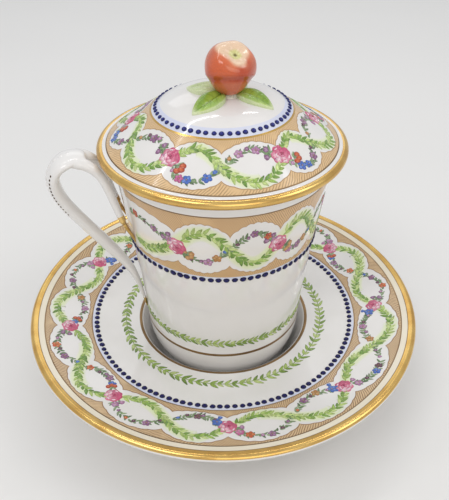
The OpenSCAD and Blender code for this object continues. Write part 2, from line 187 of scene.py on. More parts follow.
class Chart:
    """A painted surface: az in degrees, h a radius (saucer, lid) or a height (cup)."""

    def __init__(self, kind, profile, shrink):
        self.kind, self.profile, self.shrink = kind, profile, shrink
        self.flat = kind != "cup"

    def radius(self, h):
        return h if self.flat else wall_r(h)

    def at(self, az, h, lift):
        """Points at az, h, standing lift mm off the surface."""
        az, h, lift = np.broadcast_arrays(np.radians(az), np.asarray(h, float), lift)
        f, e = self.profile, 0.05
        slope = (f(h + e) - f(h - e)) / (2 * e)
        k = np.sqrt(slope * slope + 1)
        on, off = h - lift * slope / k, f(h) + lift / k
        r, z = (on, off) if self.flat else (off, on)
        return np.stack([r * np.cos(az), r * np.sin(az), z], -1)

    def place(self, az, h, x, y, lift):
        """Points at x along the circle and y across it, in mm, from the spot at az, h."""
        return self.at(az + np.degrees(x / self.radius(h)), h + y * self.shrink, lift)


SAUCER, CUP, LID = Chart("saucer", brim_z, 0.985), Chart("cup", wall_r, 1.0), Chart("lid", lid_z, 0.80)


# ---- meshes

# Orders of a grid face's corners: two ways to face, each with either diagonal
ALONG, ALONG_BACK, ROUND, ROUND_BACK = (0, 1, 2, 3), (3, 2, 1, 0), (0, 3, 2, 1), (1, 2, 3, 0)


def quads(rows, cols, order, start=0, closed=True):
    """Faces between the neighbours of a grid of vertices, which may close from last column to first."""
    out = []
    for i in range(rows - 1):
        for j in range(cols if closed else cols - 1):
            a, b = start + i * cols + j, start + i * cols + (j + 1) % cols
            f = (a, a + cols, b + cols, b)
            out.append(tuple(f[k] for k in order))
    return out


def shell_faces(rows, cols, order):
    """A closed grid with a fan to each end; the two end points come after the grid's vertices."""
    faces, end, last = quads(rows, cols, order), rows * cols, (rows - 1) * cols
    way = 1 if order is ALONG else -1
    for j in range(cols):
        k = (j + 1) % cols
        faces += [(end, j, k)[::way], (end + 1, last + k, last + j)[::way]]
    return faces


def shell_uv(faces, cols, v):
    """Bake map of shell_faces, unrolled: v for the first end, for each row and for the last end."""
    end, uv = (len(v) - 2) * cols, []
    for f in faces:
        at = [i % cols for i in f if i < end]
        left = max(at) if max(at) - min(at) > 1 else min(at)
        for i in f:
            if i < end:
                uv.append(((left + (i % cols != left)) / cols, v[1 + i // cols]))
            else:
                uv.append(((left + 0.5) / cols, v[0] if i == end else v[-1]))
    return uv


def joined(parts):
    """One list of vertices and one of faces from many pairs of them."""
    verts, faces = [], []
    for v, f in parts:
        k = len(verts)
        verts += v
        faces += [tuple(i + k for i in q) for q in f]
    return verts, faces


def linked(name, data):
    obj = bpy.data.objects.new(name, data)
    bpy.context.scene.collection.objects.link(obj)
    return obj


def make_object(name, verts, faces, mats, colours=None, uv=None, sharp=0, face_mats=None):
    """uv is the bake map, with a row for each vertex or for each face corner."""
    mesh = bpy.data.meshes.new(name)
    mesh.from_pydata((np.asarray(verts) * MM).tolist(), [], faces)
    for m in mats:
        mesh.materials.append(m)
    if face_mats is not None:
        mesh.polygons.foreach_set("material_index", face_mats)
    mesh.polygons.foreach_set("use_smooth", [True] * len(mesh.polygons))
    if colours is not None:
        c = np.asarray(colours, float)
        if c.shape[1] == 3:
            c = np.concatenate([c, np.ones((len(c), 1))], 1)
        mesh.color_attributes.new("paint", "FLOAT_COLOR", "POINT").data.foreach_set("color", c.ravel())
    if uv is not None:
        uv = np.asarray(uv, float)
        if len(uv) == len(mesh.vertices):
            corners = np.empty(len(mesh.loops), int)
            mesh.loops.foreach_get("vertex_index", corners)
            uv = uv[corners]
        mesh.uv_layers.new(name="OFBake").data.foreach_set("uv", uv.ravel())
    mesh.update()
    if sharp:
        mesh.set_sharp_from_angle(angle=radians(sharp))
    return linked(name, mesh)


def piece(slot, *args, **options):
    """An object that rides on the root body."""
    obj = make_object(*args, **options)
    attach(obj, "root")
    return obj


def banded(profile, bands, axis, test):
    """Cuts extra points into a profile at the bands' edges and says each segment's material.

    bands are (low, high, material), read on the axis coordinate of the points that pass the test."""
    profile = [np.array(p, float) for p in profile]
    for edge in sorted({e for b in bands for e in b[:2]}):
        out = [profile[0]]
        for p, q in zip(profile, profile[1:]):
            if test(p) and test(q) and (p[axis] - edge) * (q[axis] - edge) < 0:
                out.append(p + (q - p) * (edge - p[axis]) / (q[axis] - p[axis]))
            out.append(q)
        profile = out
    segs = []
    for p, q in zip(profile, profile[1:]):
        m = "glaze"
        if test(p) and test(q):
            for low, high, name in bands:
                if low <= (p[axis] + q[axis]) / 2 <= high:
                    m = name
        segs.append(MAT_NAMES.index(m))
    return np.array(profile), segs


def revolve(node, profile, bands, axis, test, n=360):
    """Turns a banded profile that runs from axis to axis into the closed porcelain of a node."""
    profile, segs = banded(profile, bands, axis, test)
    a = around(n)
    verts = [q for r, z in profile[1:-1] for q in zip(r * np.cos(a), r * np.sin(a), [z] * n)]
    verts += [(0.0, 0.0, z) for z in profile[[0, -1], 1]]
    along = lengths(profile)
    area = np.sum(profile[:, 0] * np.roll(profile[:, 1], -1) - np.roll(profile[:, 0], -1) * profile[:, 1])
    end = (len(profile) - 2) * n
    faces = shell_faces(len(profile) - 2, n, ALONG if area < 0 else ALONG_BACK)
    face_mats = [segs[0 if end in f else 1 + min(f) // n] for f in faces]
    uv = shell_uv(faces, n, 0.002 + 0.996 * along / along[-1])
    obj = piece(node, node + "_porcelain", verts, faces, MATS, uv=uv, sharp=35, face_mats=face_mats)
    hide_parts(node)


# ---- materials

class Graph:
    """A material's nodes, built by short calls that return sockets."""

    def __init__(self, name):
        self.mat = bpy.data.materials.new(name)
        self.mat.use_nodes = True
        self.tree = self.mat.node_tree
        self.shader = self.tree.nodes["Principled BSDF"]
        self.coord = self.node("ShaderNodeTexCoord").outputs["Object"]

    def feed(self, socket, value):
        if isinstance(value, bpy.types.NodeSocket):
            self.tree.links.new(value, socket)
        else:
            socket.default_value = value

    def node(self, kind, links=(), **props):
        n = self.tree.nodes.new(kind)
        for k, v in props.items():
            setattr(n, k, v)
        for key, v in dict(links).items():
            self.feed(n.inputs[key], v)
        return n

    def math(self, op, a, b=0.0):
        return self.node("ShaderNodeMath", {0: a, 1: b}, operation=op).outputs[0]

    def noise(self, scale, detail=2.0):
        links = {"Vector": self.coord, "Scale": scale, "Detail": detail}
        return self.node("ShaderNodeTexNoise", links).outputs["Fac"]

    def paint(self):
        return self.node("ShaderNodeAttribute", attribute_name="paint").outputs

    def step(self, value, low, high):
        """A soft step of a value between two levels."""
        return self.node("ShaderNodeMapRange", {"Value": value, "From Min": low, "From Max": high},
                         interpolation_type="SMOOTHSTEP").outputs["Result"]

    def span(self, value, low, high):
        """A 0-1 value spread over a range."""
        n = self.node("ShaderNodeMapRange", {"Value": value, "To Min": low, "To Max": high})
        return n.outputs["Result"]

    def mix(self, fac, a, b, blend="MIX"):
        a, b = (v if isinstance(v, bpy.types.NodeSocket) else (*v, 1) for v in (a, b))
        return self.node("ShaderNodeMix", {0: fac, 6: a, 7: b}, data_type="RGBA", blend_type=blend).outputs[2]

    def set(self, **values):
        for key, v in values.items():
            self.feed(self.shader.inputs[key.replace("_", " ")], v)
        return self.mat

    def bump(self, height, strength, distance):
        n = self.node("ShaderNodeBump", {"Height": height, "Strength": strength, "Distance": distance})
        self.set(Normal=n.outputs[0])


def glaze(name, colour, deep):
    """Clear-glazed porcelain: a near white that pools slightly, over a faintly wavy surface."""
    g = Graph(name)
    g.bump(g.noise(160), 0.10, 0.0004)
    return g.set(Base_Color=g.mix(g.step(g.noise(55, 3), 0.35, 0.7), colour, deep),
                 Roughness=g.span(g.noise(90), 0.07, 0.15), Coat_Weight=0.35, Coat_Roughness=0.04, IOR=1.5)


def gold(name, light, dark, rough):
    """Burnished gilding, thinner and browner in places, with fine marks of the brush."""
    g = Graph(name)
    g.bump(g.noise(160), 0.03, 0.0001)
    leafed = g.mix(g.step(g.noise(110, 3), 0.30, 0.80), srgb(*light), srgb(*dark))
    return g.set(Base_Color=leafed, Metallic=1.0, Roughness=g.span(g.noise(120), rough, rough + 0.08))


def enamel(name, rough=0.16, mottle=0.16, coat=0.3, specular=0.5):
    """Painted enamel: its colour comes with the strokes and is mottled within them."""
    g = Graph(name)
    paint = g.paint()["Color"]
    dark = g.mix(1.0, paint, (1 - mottle * 2.2,) * 3, "MULTIPLY")
    g.bump(g.noise(1500), 0.10, 0.0001)
    return g.set(Base_Color=g.mix(g.step(g.noise(2400), 0.3, 0.75), paint, dark), Roughness=rough,
                 Coat_Weight=coat, Coat_Roughness=0.05, Specular_IOR_Level=specular)


def ground(name, per_turn, per_mm, ink_share, cup=False):
    """Tan ground: a flat wash hatched with fine slanting pen strokes of uneven strength."""
    g = Graph(name)
    paint = g.paint()
    x, y, z = g.node("ShaderNodeSeparateXYZ", {0: g.coord}).outputs
    turn = g.math("DIVIDE", g.math("ARCTAN2", y, x), 2 * pi)
    across = z if cup else g.math("SQRT", g.math("ADD", g.math("MULTIPLY", x, x), g.math("MULTIPLY", y, y)))
    wander = g.math("MULTIPLY", g.math("SUBTRACT", g.noise(260), 0.5), 1.6)
    phase = g.math("ADD", g.math("MULTIPLY", turn, per_turn), g.math("MULTIPLY", across, per_mm / MM))
    stroke = g.step(g.math("PINGPONG", g.math("ADD", phase, wander), 0.5), 0.24, 0.07)
    patch = g.step(g.noise(130), 0.26, 0.46)
    ink = g.math("MULTIPLY", g.math("MULTIPLY", stroke, patch), paint["Alpha"])
    wash = g.mix(g.step(g.noise(420, 3), 0.3, 0.75), paint["Color"], (0.86, 0.80, 0.74), "MULTIPLY")
    tone = g.mix(0.25, paint["Color"], wash)
    return g.set(Base_Color=g.mix(g.math("MULTIPLY", ink, ink_share), tone, BROWN), Roughness=0.2,
                 Coat_Weight=0.25, Coat_Roughness=0.06)


M_GLAZE = glaze("porcelain_glaze", WHITE, srgb(226, 223, 219))
M_CREAM = glaze("cream_band_glaze", CREAM, CREAM * 0.94)
M_GOLD = gold("burnished_gold", (230, 192, 116), (208, 162, 88), 0.20)
M_LINE = gold("brown_gold_line", (156, 128, 92), (124, 98, 70), 0.38)
# dark brown gilding, for the handle's small dots
M_DARK = gold("dark_brown_gilding", (96, 70, 44), (60, 44, 30), 0.45)
M_HALO = glaze("blue_tinted_glaze", srgb(216, 219, 233), srgb(206, 210, 230))
M_ENAMEL = enamel("painted_enamel")
M_DOT = enamel("navy_enamel", 0.24, 0.05, 0.0, 0.3)
M_WASH = enamel("pale_wash", 0.12, 0.02)
MATS = [M_GLAZE, M_GOLD, M_LINE, M_HALO, M_CREAM]
MAT_NAMES = ["glaze", "gold", "line", "halo", "cream"]


# ---- porcelain bodies

def saucer_body():
    under = SAUCER_RECESS
    p = [(0, FLOOR_Z), (8, FLOOR_Z), (16, FLOOR_Z)]
    p += arc((24, FLOOR_Z + FLOOR_CORNER), FLOOR_CORNER, -90, -28, 14)
    p += arc((WELL_R, WELL_Z - WELL_EDGE), WELL_EDGE, 160, 90, 14)
    p += list(BRIM[4::4]) + arc(ROLL_C, ROLL_R, 114, -112, 40) + list(BRIM_UNDER[1:])
    p += [(35.0, 10.3), (33.4, 5.2), (33, 4.2)]
    p += arc((32.2, FOOT_ROUND), FOOT_ROUND, 0, -90, 8) + arc((30.6, FOOT_ROUND), FOOT_ROUND, -90, -180, 8)
    p += [(29.2, under), (16, under), (0, under)]
    bands = [(32.9, 34.0, "line"), (51.2, 52.3, "halo"), (52.3, 52.75, "line"), (69.55, 69.95, "line"),
             (69.95, 71.9, "cream"), (71.9, 72.15, "line"), (72.15, 76, "gold")]
    revolve("saucer", p, bands, 0, lambda q: q[1] > 16.8 and q[0] > 32 and q[1] > brim_z(min(q[0], 73)) - 0.9)


def belly(inset, low_z, n):
    """The rounding from the foot or the floor inside up to the waist."""
    a = np.radians(np.linspace(0, 90, n + 1))
    out, up = BELLY_R - inset + (WAIST_R - BELLY_R) * np.sin(a), low_z + (WAIST_Z - low_z) * (1 - np.cos(a))
    return list(np.stack([out, up], 1))


def cup_body():
    lip, lip_z = CUP_LIP, RIM_Z - CUP_LIP
    zs = np.linspace(WAIST_Z, lip_z, 64)[1:]
    p = [(0, CUP_RECESS_Z), (19.9, CUP_RECESS_Z), (20.4, FLOOR_Z + 0.4), (20.8, FLOOR_Z), (22.6, FLOOR_Z),
         (23, FLOOR_Z + 0.4)]
    p += belly(0, 8.2, 30) + [(wall_r(z), z) for z in zs]
    p += arc((RIM_R - lip, lip_z), lip, 20, 90, 8) + arc((RIM_R - CUP_WALL + lip, lip_z), lip, 90, 160, 8)
    p += [(wall_r(z) - CUP_WALL, z) for z in zs[::-3]]
    p += belly(CUP_WALL, CUP_FLOOR_Z, 24)[::-1] + [(0, CUP_FLOOR_Z)]
    bands = [(24.25, 25.45, "line"), (63.2, 64.3, "halo"), (88.85, 89.25, "line")]
    revolve("cup", p, bands, 1, lambda q: q[0] > wall_r(q[1]) - 1.0 and q[1] > 20)


def lid_body():
    def on(r, down=0.0):
        return r, lid_z(r) - down

    q0, q3 = on(SHOULDER_R - SHOULDER_ROUND), on(SHOULDER_R + SHOULDER_ROUND)
    p = [on(r) for r in np.linspace(0, SHOULDER_R - SHOULDER_ROUND, 34)]
    # the shoulder between dome and cone is softly rounded
    p += list(cubic([q0, (SHOULDER_R - 0.25, q0[1] - 0.34), (SHOULDER_R + 0.2, q3[1] + 0.42), q3], 8)[1:])
    p += [on(r) for r in np.linspace(SHOULDER_R + 1.2, LID_EDGE[0] - 0.3, 40)]
    p += arc(LID_ROLL_C, LID_ROLL, 122, -100, 40)
    cone_under = LID_WALL / cos(atan2(SHOULDER_Z - LID_EDGE[1], LID_EDGE[0] - SHOULDER_R))
    bevel, low = 0.6, RIM_Z - RING_DEPTH
    p += [(38.65, RIM_Z), (RING_OUT + bevel, RIM_Z), (RING_OUT, RIM_Z - bevel), (RING_OUT, low + bevel),
          (RING_OUT - bevel, low), (RING_IN + bevel, low), (RING_IN, low + bevel),
          on(RING_IN, cone_under + bevel), (RING_IN - bevel, on(RING_IN, cone_under)[1])]
    p += [on(r, 1.1 * LID_WALL) for r in np.linspace(SHOULDER_R, 0, 20)]
    bands = [(19.95, 22.75, "halo"), (22.75, 23.3, "gold"), (38.0, 38.35, "line"), (39.5, 43, "gold")]
    revolve("lid", p, bands, 0, lambda q: q[1] > lid_z(min(q[0], 38.9)) - 1.0 or q[0] > 39.2)


# ---- painted strokes

class Strokes:
    """Collects enamel strokes: low domes with a colour from rim to crown, each with its own bake cell."""

    # rings of a dome, from its rim to its crown: share of the outline and of the lift
    RINGS = ((1.0, -0.25), (0.82, 0.62), (0.42, 0.95), (0.0, 1.0))

    def __init__(self, name, chart, mat):
        self.name, self.chart, self.mat = name, chart, mat
        self.verts, self.faces, self.colours, self.local, self.sizes = [], [], [], [], []

    def blob(self, az, h, outline, rim, crown, lift, tip=None):
        """outline: closed curve in mm round its middle; tip: a colour that the far end turns to."""
        mid, k, start = outline.mean(0), len(outline), len(self.verts)
        arms = outline - mid
        span = np.ptp(outline, axis=0).max() / 2 + 1e-6
        far = arms @ arms[0]
        far = unit(far / (np.abs(far).max() + 1e-9))
        for scale, high in self.RINGS:
            pts = mid + arms * scale if scale else mid[None]
            self.verts += self.chart.place(az, h, pts[:, 0], pts[:, 1], STROKE_LIFT + lift * high).tolist()
            self.local += ((pts - mid) / span).tolist()
            c = np.tile(rim + (crown - rim) * (1 - scale), (len(pts), 1))
            if tip is not None and scale:
                c = blend(c, tip, 0.85 * far * (0.5 + 0.5 * scale))
            self.colours += c.tolist()
        way, order = (-1, ROUND_BACK) if self.chart.flat else (1, ROUND)
        last = start + 2 * k
        self.faces += quads(3, k, order, start)
        self.faces += [(last + i, last + (i + 1) % k, last + k)[::way] for i in range(k)]
        self.sizes.append(3 * k + 1)

    def build(self):
        n = ceil(sqrt(len(self.sizes)))
        cell = np.repeat(np.arange(len(self.sizes)), self.sizes)
        uv = (np.stack([cell % n, cell // n], 1) + 0.5 + 0.44 * np.array(self.local)) / n
        piece(self.chart.kind, self.name, self.verts, self.faces, [self.mat], unit(self.colours), uv)


def turned(pts, angle, x=0.0, y=0.0):
    c, s = cos(angle), sin(angle)
    return np.stack([pts[:, 0] * c - pts[:, 1] * s + x, pts[:, 0] * s + pts[:, 1] * c + y], 1)


def pushed(pts, angle, far, x=0.0, y=0.0):
    """A shape turned by an angle and moved far mm that way, from x, y."""
    return turned(pts, angle, x + far * cos(angle), y + far * sin(angle))


def oval(length, width, n=12):
    a = around(n)
    return np.stack([length / 2 * np.cos(a), width / 2 * np.sin(a)], 1)


def leaf_shape(length, width, n=12):
    """Pointed stroke with its tip at the first point."""
    a = around(n)
    x = np.cos(a)
    taper = (1 - 0.35 * x) * np.sqrt(unit(1.12 - 0.55 * (x + 1) / 2))
    return np.stack([length / 2 * x, width / 2 * np.sin(a) * taper], 1)


def ruffle(length, width, n=15):
    """A broad petal with a wavy edge."""
    return oval(length, width, n) * (1 + 0.09 * np.cos(around(n, 8 * np.pi)))[:, None]


def jitter(colour, amount=0.10):
    return unit(colour * (1 + amount * (2 * rng.random() - 1)))


def pick(colours, amount=0.10):
    return jitter(colours[rng.randrange(len(colours))], amount)


def blossom(put, size, colours, turn, x=0.0, y=0.0):
    """Five round petals, some paler, about a small warm eye."""
    for i in range(5):
        a = turn + i * 2 * pi / 5 + rng.uniform(-0.16, 0.16)
        petal = pushed(oval(size * 0.52, size * 0.46, 10), a, size * 0.28, x, y)
        put(petal, colours[2], pick(colours[:2]), 0.15)
    put(oval(size * 0.22, size * 0.20, 8) + (x, y), colours[2] * 0.6, FLOWER_EYE, 0.21)


def bud(put, size, colours, turn, x=0.0, y=0.0):
    """Three petals seen from the side, the middle one paler, on a green cup."""
    put(pushed(oval(size * 0.36, size * 0.34, 8), turn, -size * 0.22, x, y), SAGE[2], SAGE[0], 0.10)
    for a, crown, lift in ((-0.6, 0, 0.13), (0.6, 0, 0.13), (0.0, 1, 0.17)):
        petal = pushed(oval(size * 0.66, size * 0.42, 10), turn + a, size * 0.17, x, y)
        put(petal, colours[2], colours[crown], lift)


def berries(put, size, colours, turn, x, y):
    for a in (-0.95, 0, 0.95):
        d = size * 0.34
        spot = (x + d * cos(turn + a), y + d * sin(turn + a))
        put(oval(size * 0.52, size * 0.50, 12) + spot, colours[2], colours[1], 0.22)


def rose(put, size, turn):
    """A full rose lit from its upper left: pale ruffled petals, deeper cupped ones, a folded heart."""
    put(ruffle(size * 0.92, size * 0.86, 20), PINKS[2], PINKS[0], 0.10)
    for count, reach, long, wide, lift, deep, light in (
            (7, 0.33, 0.36, 0.46, 0.16, PINKS[2], PINKS[3]), (5, 0.20, 0.30, 0.40, 0.25, PINKS[2], PINKS[3]),
            (3, 0.09, 0.20, 0.28, 0.32, ROSE_DARK, PINKS[1])):
        for i in range(count):
            a = turn + reach * 9 + i * 2 * pi / count + rng.uniform(-0.2, 0.2)
            lit = 0.05 + 0.95 * (0.5 + 0.5 * cos(a - 2.3)) ** 1.5
            petal = pushed(ruffle(size * long, size * wide), a, size * reach)
            rim = jitter(PINKS[2] * 0.8 + deep * 0.2, 0.08)
            put(petal, rim, jitter(deep + (light - deep) * lit, 0.08), lift)
    heart = turned(oval(size * 0.20, size * 0.10, 10), turn + 0.8, size * 0.03, -size * 0.02)
    put(heart, ROSE_DARK * 0.7, ROSE_DARK, 0.39)
    for a, far in ((2.5, 0.30), (1.6, 0.36), (3.3, 0.24), (0.7, 0.38), (4.4, 0.36)):
        fleck = turned(oval(size * 0.24, size * 0.08, 8), a + 1.6, size * far * cos(a), size * far * sin(a))
        put(fleck, PINKS[3], PINKS[3], 0.36)


# ---- garlands

class Garland:
    """A chain of cells between roses: a leaf strand and a flower strand that cross half way.

    The phase counts half cells: whole even numbers are roses, odd ones crossings. first is 1 where
    the leaf strand sets out outwards or upwards from the first rose, and -1 where it sets out the other way."""

    def __init__(self, chart, roses, crossings, mid, leaf_amp, flower_amp, first, rose_size, rose_shift):
        self.chart, self.mid, self.first = chart, mid, first
        self.leaf_amp, self.flower_amp = leaf_amp, flower_amp
        self.rose_size, self.rose_shift = rose_size, rose_shift
        # azimuths are read with the camera at 270 degrees
        knots = [v + CAMERA_AZ for pair in zip(roses, crossings) for v in pair]
        self.count, self.knots = len(knots), np.array(knots + [knots[0] + 360])

    def az(self, phase):
        turns = np.floor(np.asarray(phase, float) / self.count)
        return np.interp(phase - turns * self.count, np.arange(self.count + 1), self.knots) + 360 * turns

    def phase(self, az):
        a = (np.asarray(az, float) - self.knots[0]) % 360 + self.knots[0]
        return np.interp(a, self.knots, np.arange(self.count + 1))

    def leaf_h(self, phase):
        return self.mid + self.first * self.leaf_amp * np.sin(np.pi * phase)

    def flower_h(self, phase):
        return self.mid - self.first * self.flower_amp * np.sin(np.pi * phase)

    def run(self, height, start, end, gap):
        """Spots along a strand, gap mm apart: az, h and the direction of growth."""
        ph = np.linspace(start, end, 400)
        az, h = self.az(ph), height(ph)
        x = np.radians(az) * self.chart.radius(self.mid)
        y = h / (0.80 if self.chart.kind == "lid" else 1.0)
        d = lengths(np.stack([x, y], 1))
        at = np.linspace(0, d[-1], max(2, int(round(d[-1] / gap))) + 1)
        tx, ty = np.gradient(np.interp(at, d, x)), np.gradient(np.interp(at, d, y))
        spots = zip(np.interp(at, d, az).tolist(), np.interp(at, d, h).tolist(), map(atan2, ty, tx))
        return [q for q in spots if self.clear(q[0])]

    def clear(self, az):
        """Whether a spot keeps clear of the handle."""
        return self.chart.kind != "cup" or abs(az % 360 - 180) > HANDLE_FIELD - 1

    def reserve(self, az, line, cusp, bulge, scallops, wave):
        """An edge of the scalloped white field; round the cup's handle it opens to the ring line."""
        ph, way = self.phase(az), 1 if bulge > 0 else -1
        h = cusp + bulge * np.abs(np.sin(np.pi * ph)) ** 0.72
        h = h + way * wave * np.abs(np.sin(np.pi * scallops * (ph % 1)))
        if self.chart.kind == "cup":
            off = (az + 180) % 360
            off = np.minimum(off, 360 - off)
            h = h + (line - way * 0.7 - h) * smooth01((HANDLE_FIELD - way * 1.5 - off) / 2.5)
        return h


def leaf_strand(s, spots, size, gap):
    """Leaves in turn to the left and right of a thin stem, each with a darker tip or a lit side."""
    for i, (az, h, turn) in enumerate(spots):
        s.blob(az, h, turned(oval(gap * 1.35, size * 0.15, 8), turn), LEAF[2] * 0.9, LEAF[0], 0.05)
        for side in (-1, 1):
            long = size * rng.uniform(0.78, 1.16) * (1.0 if (i + side) % 4 else 0.8)
            a = turn + side * (0.66 + rng.uniform(-0.20, 0.20))
            on = 0.45 * gap if side > 0 else 0.0
            c = pick(LEAF, 0.12)
            leaf = leaf_shape(long, size * rng.uniform(0.36, 0.46))
            s.blob(az, h, pushed(leaf, a, 0.50 * long, on * cos(turn), on * sin(turn)), c * 0.84,
                   unit(c * 1.14), 0.13, c * rng.choice((0.50, 0.66, 0.9)))


def ribbon(chart, az, h, half):
    """A soft pale green wash along a path, fading into the glaze at both sides."""
    side = np.linspace(-1, 1, 9)
    tx, ty = np.gradient(np.radians(az) * chart.radius(h)), np.gradient(h)
    k = np.hypot(tx, ty)
    x, y = (-ty / k)[:, None] * side * half, (tx / k)[:, None] * side * half
    verts = chart.place(az[:, None], h[:, None], x, y, WASH_LIFT).reshape(-1, 3).tolist()
    colours = np.tile(blend(WHITE, HALO, 1 - np.abs(side) ** 3), (len(az), 1))
    return verts, quads(len(az), len(side), ALONG_BACK if chart.flat else ALONG, 0, False), colours


def ground_ring(g, line_h, edge, tan, ink, line_w, n=1440):
    """Tan ground between the reserve and a plain ring line, with the reserve's edge drawn in ink."""
    az = around(n, 360)
    edge = g.reserve(az, line_h, *edge)
    way = np.sign(line_h - edge.mean())
    slope = (np.roll(edge, -1) - np.roll(edge, 1)) / (2 * 2 * np.pi / n * g.chart.radius(edge))
    wide = np.minimum(line_w * np.sqrt(1 + slope ** 2), 0.7 * np.abs(line_h - edge))
    rows = [edge + way * wide * d for d in (0, 0.5, 1, 1.25)]
    rows += [rows[-1] + (line_h - rows[-1]) * t for t in (0.25, 0.5, 0.75, 1.0)]
    colour = [ink * 1.1, ink, ink, tan * 0.97, tan, tan, tan, tan * 0.97]
    # alpha is the hatching's strength
    colours = np.repeat([(*c, a) for c, a in zip(colour, (0, 0, 0, 0.7, 1, 1, 1, 1))], n, 0)
    verts = [v for row in rows for v in g.chart.at(az, row, GROUND_LIFT).tolist()]
    return verts, quads(len(rows), n, ROUND if (way > 0) != g.chart.flat else ROUND_BACK), colours


def strips(name, parts, chart, mat):
    """One piece of thin strips; its bake map is seen from above, or on the cup unrolled across the seam."""
    verts, faces = joined(q[:2] for q in parts)
    v = np.asarray(verts)
    if chart.flat:
        uv = 0.5 + 0.49 * v[:, :2] / np.hypot(v[:, 0], v[:, 1]).max()
    else:
        turn = (np.arctan2(v[:, 1], v[:, 0]) / (2 * np.pi)) % 1
        up = (v[:, 2] - v[:, 2].min()) / np.ptp(v[:, 2])
        uv = []
        for f in faces:
            t = turn[list(f)]
            if np.ptp(t) > 0.5:
                t = np.where(t < 0.5, t + 1, t)
            uv.extend(zip(t * 0.99, up[list(f)]))
    piece(chart.kind, name, verts, faces, [mat], np.concatenate([q[2] for q in parts]), uv)


# For each surface, the cells that follow a rose and the cells before one, flower by flower:
# a capital is an open blossom, a small letter a bud.
CELLS = {"saucer": (("pmOlPb", "MpolPl", "KOmPlp", "MlBLmp"), ("OlpPBm", "blLplB", "oPlAmB", "ApMlmB")),
         "cup": (("alpMAb", "aMpPAb"), ("lpRlPM", "lpPgRM")),
         "lid": (("mKBgBb", "mBBgPl"), ("aMpMpP", "alPmlM"))}


def sage_leaf(put, long, wide, a, x=0.0, y=0.0):
    c = pick(SAGE, 0.2)
    leaf = pushed(leaf_shape(long, wide, 10), a, 0.5 * long, x, y)
    put(leaf, c * 0.85, c * 1.1, 0.09, c * rng.choice((0.5, 0.75)))


def flower_strand(s, g, start, cell):
    """Flowers and buds along one cell, closely set with small grey-green leaves."""
    for az, h, turn in g.run(g.flower_h, start + 0.08, start + 0.98, 1.15):
        for side in (-1, 1):
            if rng.random() < 0.78:
                long, a = rng.uniform(1.5, 2.5), turn + side * rng.uniform(0.4, 1.1)
                sage_leaf(partial(s.blob, az, h), long, 0.85, a)
    for share, letter in zip((0.15, 0.31, 0.46, 0.60, 0.76, 0.91), cell):
        ph = start + share + rng.uniform(-0.02, 0.02)
        az, h = g.az(ph), g.flower_h(ph) + rng.uniform(-0.4, 0.4)
        turn = rng.uniform(0, 2 * pi)
        if g.clear(az):
            flower, low, high = (blossom, 2.7, 3.2) if letter.isupper() else (bud, 2.0, 2.5)
            flower(partial(s.blob, az, h), rng.uniform(low, high), FLOWERS[letter.lower()], turn)


def rose_cluster(s, g, index, before, after):
    """The rose with its companions: one group on the side it grows from, one on the other."""
    put, size = partial(s.blob, g.az(2 * index), g.mid + g.rose_shift), g.rose_size
    for side, letter in ((-1, before), (1, after)):
        colours = FLOWERS[letter]
        x, y = side * size * 0.54, -side * g.first * size * 0.36
        way = atan2(y, x)
        for _ in range(7):
            long, a = size * rng.uniform(0.30, 0.42), way + rng.uniform(-1.7, 1.7)
            sage_leaf(put, long, size * 0.16, a, x * 0.9, y * 0.9)
        if letter in "ra":
            berries(put, size * 0.62, colours, way, x, y)
        elif letter == "b":
            blossom(put, size * 0.58, colours, way, x * 1.05, y * 1.05)
            bud(put, size * 0.40, colours, way + 1.2, x * 1.1 - y * 0.5, y * 1.1 + x * 0.5)
        else:
            bud(put, size * 0.50, colours, way + 0.5, x * 1.05, y * 1.05)
            bud(put, size * 0.44, colours, way - 0.7, x * 0.9 + y * 0.45, y * 0.9 - x * 0.45)
    rose(put, size, rng.uniform(0, 2 * pi))


def wreath(s, h, pairs, size, width, start):
    """A ring of leaves in pairs, long ones and shorter ones in turn, growing out of a thin stem."""
    step = 180 / pairs
    stem = oval(radians(step) * s.chart.radius(h) * 1.3, 0.42, 8)
    for i in range(pairs * 2):
        az = start + step * i
        s.blob(az, h, stem, WREATH[0] * 0.85, WREATH[0], 0.06)
        for side in (-1, 1):
            a = side * rng.uniform(0.52, 0.80)
            long = size * (1.0 if i % 2 == 0 else 0.78) * rng.uniform(0.86, 1.14)
            c = pick(WREATH, 0.12)
            tip = c + (DARK_LEAF - c) * (0.85 if rng.random() < 0.35 else rng.uniform(0.05, 0.4))
            leaf = pushed(leaf_shape(long, width * rng.uniform(0.85, 1.2)), a, 0.50 * long)
            s.blob(az, h, leaf, c * 0.88, unit(c * 1.12), 0.12, tip)


def dots(chart, h, count, along, across, start, deep, light):
    """Raised navy enamel dots on a ring."""
    s = Strokes(chart.kind + "_dots", chart, M_DOT)
    for i in range(count):
        az = start + 360 * (i + rng.uniform(-0.06, 0.06)) / count
        k = rng.uniform(0.92, 1.06)
        spot = h + rng.uniform(-0.06, 0.06)
        s.blob(az, spot, turned(oval(along * k, across * k, 14), rng.uniform(-0.2, 0.2)), deep, light, 0.42)
    s.build()


